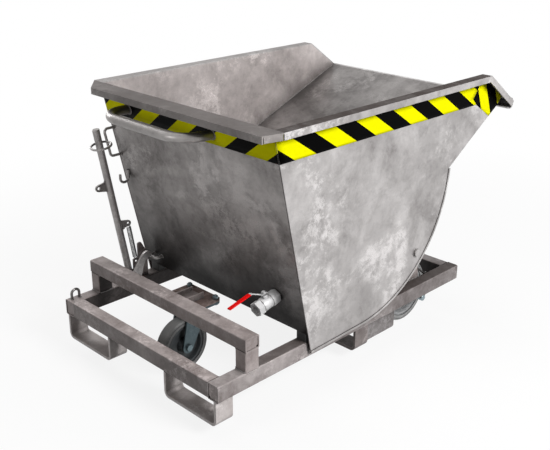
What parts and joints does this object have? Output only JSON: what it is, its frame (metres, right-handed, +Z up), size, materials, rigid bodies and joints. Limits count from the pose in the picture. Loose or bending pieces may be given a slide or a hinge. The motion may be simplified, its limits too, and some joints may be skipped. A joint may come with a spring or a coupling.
{
  "type": "self-tipping hopper",
  "caption": "Wheeled steel hopper that tips forward on a pivot shaft to empty over its rolled lip, with fork pockets, latch lever, push handle and drain valve.",
  "frame": {"origin": "on the ground under the middle of the bounding box", "axes": "+X towards the pouring lip, +Y to the left, +Z up"},
  "size_m": [1.514, 0.956, 0.9755],
  "materials": {
    "frame_steel": "raw hot-rolled steel, brownish grey",
    "hopper_steel": "raw sheet steel with cloudy patches",
    "lever_steel": "raw steel tube",
    "bright_steel": "bright drawn steel",
    "zinc_plate": "blue zinc plate",
    "bush_bronze": "plain bronze",
    "rubber": "black rubber",
    "valve_steel": "cast and machined stainless steel",
    "grip_red": "red dipped sleeve",
    "wheel_core": "grey moulded core",
    "tread": "grey tread"
  },
  "bodies": {
    "frame": {"side_rail_right": "frame_steel", "side_rail_left": "frame_steel", "rear_cross_rail": "frame_steel", "mid_cross_rail": "frame_steel", "front_cross_rail": "frame_steel", "tube_end_caps": "frame_steel", "guard_posts": "frame_steel", "guard_bar": "frame_steel", "fork_strap_rear_right": "frame_steel", "fork_strap_rear_left": "frame_steel", "fork_strap_front_right": "frame_steel", "fork_strap_front_left": "frame_steel", "fork_guides": "frame_steel", "lashing_eye": "bright_steel", "caster_arm": "frame_steel", "caster_mount_plate": "frame_steel", "caster_top_plate": "zinc_plate", "caster_bolts": "zinc_plate", "front_axle": "zinc_plate", "axle_collars": "zinc_plate", "pivot_brackets": "frame_steel", "pivot_bushes": "bush_bronze", "bracket_stays": "bright_steel", "rest_buffers": "rubber", "lever_bracket": "frame_steel", "latch_spring": "zinc_plate"},
    "hopper": {"side_plate_right": "hopper_steel", "side_plate_left": "hopper_steel", "rear_wall": "hopper_steel", "floor_sheet": "hopper_steel", "chute_plate": "hopper_steel", "lip_roll": "hopper_steel", "rear_rim": "hopper_steel", "side_rim_right": "hopper_steel", "side_rim_left": "hopper_steel", "edge_bars": "hopper_steel", "rear_sill": "hopper_steel", "pivot_shaft": "hopper_steel", "push_handle": "hopper_steel", "lock_keeper": "bright_steel", "chain_hook": "bright_steel", "latch_catch": "bright_steel", "drain_nipple": "bright_steel", "valve_body": "valve_steel"},
    "lever": {"lever_tube": "lever_steel", "lever_lugs": "lever_steel", "lever_shaft": "lever_steel", "latch_hook": "lever_steel"},
    "lock_ring": {"lock_ring": "bright_steel"},
    "valve_handle": {"valve_ball": "valve_steel", "valve_lever": "valve_steel", "valve_grip": "grip_red"},
    "caster": {"caster_fork": "zinc_plate", "wheel_bolt": "zinc_plate"},
    "rear_wheel": {"rear_core": "wheel_core", "rear_tyre": "tread"},
    "front_wheel_right": {"front_core_right": "wheel_core", "front_tyre_right": "tread"},
    "front_wheel_left": {"front_core_left": "wheel_core", "front_tyre_left": "tread"}
  },
  "joints": [
    {"name": "hopper_tip", "type": "hinge", "parent": "frame", "child": "hopper", "pos_m": [0.223, 0, 0.3565], "axis": [0, 1, 0], "range_deg": [0, 65]},
    {"name": "lever_pull", "type": "hinge", "parent": "frame", "child": "lever", "pos_m": [-0.4833, 0.398, 0.2255], "axis": [0, -1, 0], "range_deg": [0, 18], "stiffness_Nm_per_rad": 4, "springref_deg": -28.65, "deforming": ["latch_spring"]},
    {"name": "ring_lift", "type": "slide", "parent": "lever", "child": "lock_ring", "axis": [-0.1771, 0, 0.9842], "range_m": [0, 0.05]},
    {"name": "valve_turn", "type": "hinge", "parent": "hopper", "child": "valve_handle", "pos_m": [-0.44052, -0.314, 0.33818], "axis": [0.221, -0.0698, -0.9728], "range_deg": [0, 90]},
    {"name": "caster_swivel", "type": "hinge", "parent": "frame", "child": "caster", "pos_m": [-0.504, 0, 0.2475], "axis": [0, 0, 1], "continuous": true},
    {"name": "rear_wheel_spin", "type": "hinge", "parent": "caster", "child": "rear_wheel", "pos_m": [-0.554, 0, 0.1], "axis": [0, 1, 0], "continuous": true},
    {"name": "front_wheel_right_spin", "type": "hinge", "parent": "frame", "child": "front_wheel_right", "pos_m": [0.323, -0.307, 0.125], "axis": [0, 1, 0], "continuous": true},
    {"name": "front_wheel_left_spin", "type": "hinge", "parent": "frame", "child": "front_wheel_left", "pos_m": [0.323, 0.307, 0.125], "axis": [0, 1, 0], "continuous": true}
  ]
}
